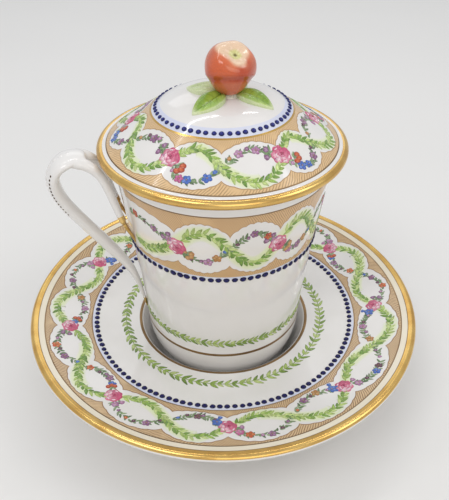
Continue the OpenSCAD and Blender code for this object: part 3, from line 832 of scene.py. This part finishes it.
def decorate(g, outer, inner, look, hatch, leaf_size, halo, pairs, dot_row, ring=None):
    """All painting of one surface: ground, washes, garland, a ring of leaves, navy dots.

    outer and inner are the ground's two parts: its ring line and the reserve's edge there.
    look is the ground's colour, its ink and the width of the edge's line. pairs holds for each rose
    the flowers before and after it, and which cells follow and lead."""
    chart, tag = g.chart, g.chart.kind
    hatching = ground(tag + "_ground_wash", *hatch, cup=not chart.flat)
    strips(tag + "_ground", [ground_ring(g, *part, *look) for part in (outer, inner)], chart, hatching)
    s, washes, gap = Strokes(tag + "_garland", chart, M_ENAMEL), [], leaf_size * 0.56
    for k in range(g.count):
        ph = np.linspace(k, k + 1, 60)
        ph = ph[[g.clear(a) for a in g.az(ph)]]
        if len(ph) > 2:
            washes.append(ribbon(chart, g.az(ph), g.leaf_h(ph), halo))
        # the leaves stop short of the rose
        start, end = (k + 0.13, k + 1) if k % 2 == 0 else (k, k + 1 - 0.13)
        leaf_strand(s, g.run(g.leaf_h, start, end, gap), leaf_size, gap)
    strips(tag + "_wash", washes, chart, M_WASH)
    follow, lead = CELLS[tag]
    for i, (before, after, a, b) in enumerate(pairs.split()):
        flower_strand(s, g, 2 * i, follow[int(a)])
        flower_strand(s, g, 2 * i - 1, lead[int(b)])
        rose_cluster(s, g, i, before, after)
    if ring:
        wreath(s, *ring)
    s.build()
    dots(chart, *dot_row)


# ---- handle

def spline(c, u):
    """Uniform cubic B-spline through a list of control points."""
    c = np.asarray(c, float)
    spans = len(c) - 3
    x = np.minimum(np.asarray(u, float) * spans, spans - 1e-4)
    k = np.floor(x).astype(int)
    t = (x - k)[:, None]
    return (c[k] * (1 - t) ** 3 + c[k + 1] * (3 * t ** 3 - 6 * t * t + 4)
            + c[k + 2] * (-3 * t ** 3 + 3 * t * t + 3 * t + 1) + c[k + 3] * t ** 3) / 6


def run_point(u, v, side=0.0):
    """A point at u of the handle's reach off the wall and v of its height, side mm off its middle."""
    z = HANDLE_Z + v * HANDLE_TALL
    return -(wall_r(z) + u * HANDLE_REACH), side, z


STRAP = [run_point(*q) for q in ((-0.064, -0.178), (0.01, 0), (0.064, 0.156), (0.127, 0.284), (0.335, 0.409),
                                 (0.612, 0.563), (0.882, 0.71), (1.045, 0.837), (0.957, 0.974), (0.376, 1.02),
                                 (-0.148, 0.92))]
ARM_TIP = (ARM_TIP_Z - HANDLE_Z) / HANDLE_TALL
ARM_DROP = 0.844 - ARM_TIP
ARMS = [[run_point(u, v, side * w) for u, v, w in (
    (0.98, 0.786, 0.05), (0.966, 0.937, 0.14), (0.582, 1.011, 0.38), (0.24, 0.949, 0.62),
    (0.168, 0.844, 0.79), (0.126, 0.844 - ARM_DROP * 0.35, 0.89), (0.062, 0.844 - ARM_DROP * 0.68, 1.02),
    (-0.065, ARM_TIP, 1.03), (-0.141, ARM_TIP - 0.11, 1.08))] for side in (-ARM_OFF, ARM_OFF)]


def strap_size(u):
    """Width and thickness along the strap: a fine lower tip, and a wider end where it forks."""
    x = unit((1 - u) / 0.10)
    end = np.sqrt(x * (2 - x))
    w = (0.2 + 0.8 * unit(u / 0.22)) * STRAP_W + FORK_WIDER * smooth01((u - 0.62) / 0.30)
    return w * (0.4 + 0.6 * end), STRAP_T * (0.14 + 0.86 * unit(u / 0.42)) * (0.3 + 0.7 * end)


def arm_size(u):
    """Width and thickness along an arm: a neck, and the pointed leaf at its end."""
    x = (1 - u) / ARM_LEAF
    root = np.clip(u / 0.2, 0.25, 1)
    w = ARM_W * root * (1 + 0.18 * unit(1 - u / 0.4)) * np.where(
        x > 1, 1 - 0.18 * unit((x - 1) / 1.2) * (1 - unit((x - 2.2) / 1.5)),
        0.16 + 0.68 * unit(x) ** 0.7)
    t = (ARM_T + (STRAP_T - ARM_T) * unit(1.3 - u / 0.3)) * root * np.where(
        x > 1, 0.78 + 0.22 * unit((x - 1) / 1.5), 0.30 + 0.24 * unit(x))
    return w, t


def frames(points):
    """Tangent, sideways and outward directions along a spine."""
    t = np.gradient(points, axis=0)
    t /= np.linalg.norm(t, axis=1, keepdims=True)
    y = np.array([0.0, 1.0, 0.0])
    x = y - t * (t @ y)[:, None]
    x /= np.linalg.norm(x, axis=1, keepdims=True)
    return t, x, np.cross(t, x)


def sweep(control, size, n, sides=32):
    u = np.linspace(0, 1, n)
    p = spline(control, u)
    t, x, y = frames(p)
    w, h = (s[:, None] / 2 for s in size(u))
    a = around(sides)
    ring = p[:, None] + x[:, None] * (w * np.cos(a))[..., None] + y[:, None] * (h * np.sin(a))[..., None]
    return [*ring.reshape(-1, 3).tolist(), p[0].tolist(), p[-1].tolist()], shell_faces(n, sides, ALONG)


def remeshed(parts, voxel, smooth):
    """Joins closed parts into one skin with softly filled joints."""
    tmp = make_object("tmp", *joined(parts), [])
    m = tmp.modifiers.new("skin", "REMESH")
    m.mode, m.voxel_size = "VOXEL", voxel * MM
    m = tmp.modifiers.new("soft", "SMOOTH")
    m.factor, m.iterations = 0.5, smooth
    mesh = bpy.data.meshes.new_from_object(tmp.evaluated_get(bpy.context.evaluated_depsgraph_get()))
    co = np.empty(len(mesh.vertices) * 3)
    mesh.vertices.foreach_get("co", co)
    faces = [tuple(p.vertices) for p in mesh.polygons]
    bpy.data.objects.remove(tmp)
    bpy.data.meshes.remove(mesh)
    return co.reshape(-1, 3) / MM, faces


def handle():
    parts = [sweep(STRAP, strap_size, 160)] + [sweep(arm, arm_size, 120) for arm in ARMS]
    verts, faces = remeshed(parts, 0.32, 5)
    # nothing of the handle reaches past the middle of the cup's wall
    r, least = np.hypot(verts[:, 0], verts[:, 1]), wall_r(verts[:, 2]) - HANDLE_SINK
    verts[:, :2] *= np.where(r < least, least / np.maximum(r, 1e-6), 1.0)[:, None]
    # gilding: the handle's lower tip and the arms' leaf ends
    gilt = unit((35.0 - verts[:, 2]) / 0.8)
    u = np.linspace(0, 1, 240)
    for arm in ARMS:
        p = spline(arm, u)
        near = np.concatenate([np.linalg.norm(v[:, None] - p[None], axis=2).argmin(1)
                               for v in np.array_split(verts, 20)])
        dist = np.linalg.norm(verts - p[near], axis=1)
        gilt = np.maximum(gilt, np.where(dist < 3.4, unit((u[near] - 0.70) / 0.03), 0))
    g = Graph("handle_glaze")
    fray = g.math("MULTIPLY", g.math("SUBTRACT", g.noise(700, 3), 0.5), 0.5)
    mask = g.step(g.math("ADD", g.paint()["Fac"], fray), 0.42, 0.58)
    gilding = g.mix(g.step(g.noise(300, 3), 0.35, 0.65), srgb(232, 196, 124), srgb(192, 146, 80))
    g.bump(g.noise(160), 0.10, 0.0004)
    g.set(Base_Color=g.mix(mask, WHITE, gilding), Metallic=mask, Roughness=g.span(mask, 0.10, 0.24),
          Coat_Weight=0.3, Coat_Roughness=0.04)
    piece("cup", "cup_handle", verts, faces, [g.mat], np.repeat(gilt[:, None], 3, 1))


def ellipsoid(c, axes, sizes, n=14, m=9):
    """A small closed form: axes are three unit vectors, sizes its half lengths."""
    x, y, z = (np.array(a) * s for a, s in zip(axes, sizes))
    verts = []
    for a in np.pi * np.arange(1, m) / m:
        for b in around(n):
            verts.append((c + x * sin(a) * cos(b) + y * sin(a) * sin(b) - z * cos(a)).tolist())
    return [*verts, (c - z).tolist(), (c + z).tolist()], shell_faces(m - 1, n, ROUND)


def handle_beads():
    """The beaded spine of the strap, and the small gilt dots in the hollows along its edges."""
    beads, gilt = [], []
    dense = np.linspace(0, 1, 800)
    p = spline(STRAP, dense)
    along = lengths(p)
    t, x, y = frames(p)
    w, h = strap_size(dense)
    end = np.interp(0.95, dense, along)
    for k in range(BEADS):
        i = int(np.searchsorted(along, end - (k + 0.5) * BEAD_PITCH))
        fade = sqrt(min(1.0, min(k + 1, BEADS - k) / (BEADS * 0.35)))
        c = p[i] + y[i] * (h[i] / 2 - 0.12)
        beads.append(ellipsoid(c, (t[i], x[i], y[i]), (0.86, 0.86 * fade + 0.2, 0.50 * fade)))
    a = radians(38)
    for k in range(GILT_DOTS):
        i = int(np.searchsorted(along, end - k * 1.3 - 7.5))
        size = 0.46 * (1 - 0.045 * abs(k - 3))
        for side in (-1, 1):
            c = p[i] + x[i] * side * (w[i] / 2) * cos(a) + y[i] * (h[i] / 2) * sin(a)
            out = x[i] * side * cos(a) * h[i] + y[i] * sin(a) * w[i]
            out /= np.linalg.norm(out)
            gilt.append(ellipsoid(c, (t[i], np.cross(out, t[i]), out), (size, size * 0.8, 0.16), 10, 6))
    piece("cup", "handle_beads", *joined(beads), [M_GLAZE])
    piece("cup", "handle_gilt_dots", *joined(gilt), [M_DARK])


# ---- finial

def fruit_skin(a, b):
    """The fruit about its own axis, a degrees from its crown and b degrees round."""
    ar, br = np.radians(a), np.radians(b)
    tall = np.where(a < 90, FRUIT_H * 0.55, FRUIT_H * 0.47)
    crown = np.exp(-(a / 30) ** 2)
    lobes = 1 + 0.035 * np.cos(5 * br + radians(20)) * np.sin(ar) * unit((150 - a) / 90)
    pinch = 1 - 0.24 * unit((a - 90) / 90) ** 1.2
    r = FRUIT_D / 2 * np.sin(ar) * (1 + 0.05 * np.cos(ar)) * lobes * pinch
    r = r * (1 - 0.014 + 0.014 * np.sin(3 * br + 1.1) * np.sin(2 * ar + 0.4))
    z = tall * np.cos(ar) - CROWN_DEPTH * crown
    z = z + 0.25 * crown * np.sin(np.minimum(2 * ar, np.pi / 2)) * np.cos(5 * br)
    return np.stack([r * np.cos(br), r * np.sin(br), z], -1)


def finial_at():
    az = radians(FRUIT_AZ)
    return np.array([FRUIT_OUT * cos(az), FRUIT_OUT * sin(az)])


def fruit():
    rows, turns = 90, 128
    a = np.append(np.repeat(np.linspace(0, 180, rows + 1)[1:-1], turns), [0, 180])
    b = np.append(np.tile(around(turns, 360), rows - 1), [0, 0])
    turn = np.array(Matrix.Rotation(radians(FRUIT_AZ), 3, "Z") @ Matrix.Rotation(radians(FRUIT_LEAN), 3, "Y"))
    verts = fruit_skin(a, b) @ turn.T
    # below a crease it narrows, towards a point that leans its own way
    back, tip = radians(75), radians(20)
    up = np.array([sin(tip) * cos(back), sin(tip) * sin(back), cos(tip)])
    high = verts @ up
    side = verts - high[:, None] * up
    fold = np.exp(-((high + 2.5) / 0.75) ** 2)
    verts = high[:, None] * up + side * (1 - 0.13 * smooth01((-0.8 - high) / 3.6) - 0.028 * fold)[:, None]
    verts = np.append(finial_at(), LID_TOP_Z - FRUIT_SINK + FRUIT_H / 2) + verts
    red, deep, low, crease, cream, calyx, eye, blush = palette(
        (212, 98, 54), (184, 66, 38), (196, 102, 66), (138, 50, 32), (238, 208, 176), (214, 208, 138),
        (112, 100, 42), (232, 164, 126))
    aa, bb = np.radians(a), np.radians(b)
    crown_edge = 38 + 5 * np.cos(3 * bb + 0.6) + 18 * unit(-np.cos(bb))
    streak = 0.5 + 0.5 * np.sin(bb * 5 + 2 * np.sin(bb * 2)) * np.sin(aa * 3 + bb)
    c = blend(red, deep, 0.75 * smooth01(0.5 + np.sin(2 * bb + 0.8) * np.sin(2.4 * aa)))
    # the crease colour is painted shade along the groove
    for other, share in (
            (low, smooth01((-3.0 - high) / 1.2)), (blush, 0.60 * streak * smooth01((high + 1) / 4)),
            (crease, 0.50 * fold), (cream, 0.92 * smooth01((crown_edge - a) / 15)),
            (calyx, smooth01((17 - a) / 8)), (eye, smooth01((5.5 - a) / 3))):
        c = blend(c, other, share)
    faces = shell_faces(rows - 1, turns, ALONG)
    piece("lid", "finial_fruit", verts, faces, [enamel("fruit_glaze", 0.10, 0.05)], c,
          shell_uv(faces, turns, np.linspace(0, 1, rows + 1)))


def finial_leaves():
    """Four leaves on the dome, with sunk midrib and side veins, and the hub they spring from."""
    at = finial_at()
    along, across, start = 60, 36, 2.0
    cols, m = across + 1, (along + 1) * (across + 1)
    t, w = np.meshgrid(np.linspace(0, 1, along + 1), np.linspace(-1, 1, cols), indexing="ij")
    out = np.abs(w)
    edge = smooth01((out - 0.90) / 0.10)
    # side veins run forward from the midrib
    line = (unit((np.cos(2 * np.pi * (t * 6.0 - out * 1.15)) - 0.86) / 0.14) * unit(out / 0.12)
            * unit((0.92 - out) / 0.2) * np.sin(np.pi * t) ** 0.5)
    rib = unit(1 - out / 0.07) * unit((0.96 - t) / 0.1)
    lift = 0.45 + LEAF_LIFT * (0.1 + 0.9 * np.sin(np.radians(150 * out))) * np.sin(np.pi * t ** 0.7)
    lift = lift - 0.10 * line - 0.12 * rib
    light, mid, vein, pale = palette((182, 208, 88), (140, 178, 62), (92, 122, 42), (228, 233, 196))
    verts, faces, colours = [], [], []
    for az, share in LEAVES:
        x = start + (LEAF_L * share - start) * t
        y = (LEAF_W / 2 * np.sin(np.pi * t ** 0.85) ** 0.8 + 0.12) * w + 0.8 * np.sin(np.radians(150 * t))
        a = radians(az)
        px, py = at[0] + x * cos(a) - y * sin(a), at[1] + x * sin(a) + y * cos(a)
        base = lid_z(np.hypot(px, py))
        # painted shade darkens the half away from the front, and the front half gets a painted highlight
        back = w * copysign(1.0, cos(a))
        c = blend(mid, light, 0.5 + 0.5 * np.sin(5 * t + 3 * out))
        c = blend(c, vein, np.maximum(0.45 * line, 0.7 * rib))
        c = blend(c, vein, 0.55 * smooth01((0.30 - t) / 0.25))
        c = c * (1 - 0.14 * smooth01((back - 0.02) / 0.30) * (1 - edge))[..., None]
        # the front half gets a painted highlight, tips and edges are paler, and the leaves at the back are
        # paler all over
        for white in (0.14 * smooth01((-back - 0.45) / 0.4), 0.75 * smooth01((t - 0.80) / 0.20), 0.55 * edge,
                      0.55 * (az > 100)):
            c = blend(c, pale, white)
        k = len(verts)
        for z in (base + lift, base - 0.3):
            verts += np.stack([px, py, z], -1).reshape(-1, 3).tolist()
            colours += c.reshape(-1, 3).tolist()
        faces += quads(along + 1, cols, ALONG, k, False)
        for first, step, count, way in (
                (k, cols, along, 1), (k + across, cols, along, -1), (k, 1, across, -1),
                (k + along * cols, 1, across, 1)):
            for q in range(first, first + count * step, step):
                faces.append((q, q + m, q + m + step, q + step)[::way])
    glazed = enamel("leaf_glaze", 0.12, 0.08)
    piece("lid", "finial_leaves", verts, faces, [glazed], unit(colours), sharp=50)
    n, profile, foot = 48, ((4.2, -1.0), (4.1, 0.0), (3.7, 0.6), (3.3, 1.1), (2.9, 1.6)), LID_TOP_Z - 0.4
    b = around(n)
    verts = [q for r, z in profile for q in zip(at[0] + r * np.cos(b), at[1] + r * np.sin(b), [foot + z] * n)]
    faces = quads(len(profile), n, ROUND) + [tuple(range(n))[::-1], tuple(range(len(verts) - n, len(verts)))]
    piece("lid", "finial_hub", verts, faces, [M_ENAMEL], [srgb(228, 224, 204)] * len(verts), sharp=50)


# ---- the whole

def painting():
    """The garlands' roses and crossings stand where the photograph shows them, and go on so behind."""
    decorate(Garland(SAUCER, (192.6, 231.6, 271.2, 313.4, 357.8, 396.7, 435.5, 474.6, 513.6),
                     (212.7, 252.2, 292.0, 336.6, 377.5, 416.3, 455.2, 494.2, 533.0),
                     61.0, 4.9, 5.2, -1, 6.3, -0.4),
             (69.55, (65.0, 3.5, 6, 0.26)), (52.75, (56.4, -2.4, 6, 0.26)), (TAN_BROWN, INK_DARK, 0.30),
             (430, 0.95, 0.95), 2.9, 3.0, "rp03 rm10 bm21 bm32 bp03 rm10 bm21 rp32 bm10",
             (50.6, 124, 2.15, 2.05, 1.0, *NIGHT), (39.2, 47, 3.6, 1.3, 3.0))
    decorate(Garland(CUP, (245.3, 299.8, 351.0, 402.2, 453.5, 504.7),
                     (273.5, 325.4, 376.6, 427.9, 479.1, 555.0), 76.0, 6.4, 5.6, 1, 6.7, -0.6),
             (88.85, (80.9, 5.0, 7, 0.42)), (64.3, (69.6, -3.4, 7, 0.42)), (TAN_CUP, INK_SOFT, 0.24),
             (300, 0.8, 0.58), 3.2, 3.3, "pa00 pa11 mr00 pa11 mr00 pa11",
             (62.9, 80, 2.32, 2.0, 0.5, *NIGHT), (31.0, 45, 3.3, 1.2, 0.0))
    decorate(Garland(LID, (176.8, 239.0, 305.4, 363.7, 421.4, 479.1),
                     (204.2, 269.3, 331.0, 392.5, 450.2, 508.0), 30.7, 4.6, 4.3, -1, 6.7, -1.0),
             (38.0, (34.1, 2.7, 6, 0.20)), (23.3, (27.3, -2.9, 6, 0.20)), (TAN, INK_SOFT, 0.22),
             (230, 0.95, 0.62), 2.9, 2.9, "mr10 pr01 pr10 mr01 pr10 mr01",
             (21.5, 57, 1.7, 1.65, 2.0, *NIGHT_LID))


def stage():
    """A pale paper floor, an even sky and five soft lamps; places and sizes are in metres."""
    e, g = 3.0 / MM, Graph("floor_paper")
    paper = g.set(Base_Color=g.mix(g.noise(6), srgb(232, 230, 227), srgb(228, 226, 223)), Roughness=0.85)
    obj = make_object("floor", [(-e, -e, 0), (e, -e, 0), (e, e, 0), (-e, e, 0)], [(0, 1, 2, 3)], [paper])
    # just under the foot ring, so that the two don't share a plane
    obj.location.z = -0.00005
    world = bpy.data.worlds.new("studio")
    world.use_nodes = True
    colour, strength = world.node_tree.nodes["Background"].inputs[:2]
    colour.default_value, strength.default_value = (0.94, 0.965, 1.0, 1), 0.66
    bpy.context.scene.world = world
    for name, place, size, power, tint in (
            ("key", (-0.42, -0.26, 0.68), (0.40, 0.24), 1.15, (1, 1, 1)),
            ("fill", (-0.02, -0.70, 0.36), (0.45, 0.40), 0.75, (1.0, 0.91, 0.80)),
            ("side", (0.50, -0.24, 0.64), (0.35, 0.35), 0.9, (1, 1, 1)),
            ("strip", (-0.04, 0.26, 0.80), (1.04, 0.024), 1.0, (1, 1, 1)),
            ("back", (0.10, 0.70, 0.55), (0.70, 0.25), 0.4, (1, 1, 1))):
        lamp = bpy.data.lights.new(name, "AREA")
        lamp.shape, lamp.size, lamp.size_y, lamp.energy, lamp.color = "RECTANGLE", *size, power, tint
        o = linked(name, lamp)
        o.location = place
        o.rotation_euler = (Vector((0, 0, 0.06)) - Vector(place)).to_track_quat("-Z", "Y").to_euler()


def camera():
    """The photograph's pinhole: fitted to the painted rings, in the part's frame."""
    focal_px, height_px, away, high = 596.984, 500, 181.31, 185.34
    pitch, pan, roll = 0.64006, 0.003228, 0.002491
    cam = bpy.data.cameras.new("photo_camera")
    cam.sensor_fit, cam.sensor_height = "VERTICAL", 36.0
    cam.lens = 36.0 * focal_px / height_px
    cam.clip_start, cam.clip_end = 0.005, 20
    az, turn = radians(CAMERA_AZ), Matrix.Rotation
    m = turn(az - pan, 4, "Z") @ turn(pi / 2 - pitch, 4, "X") @ turn(-roll, 4, "Z")
    m.translation = Vector((away * sin(az), -away * cos(az), high)) * MM
    obj = linked("photo_camera", cam)
    obj.matrix_world = m
    bpy.context.scene.camera = obj


for build in (camera, stage, saucer_body, cup_body, lid_body, handle, handle_beads, fruit, finial_leaves,
              painting):
    build()
bpy.context.scene.view_settings.view_transform = "Standard"
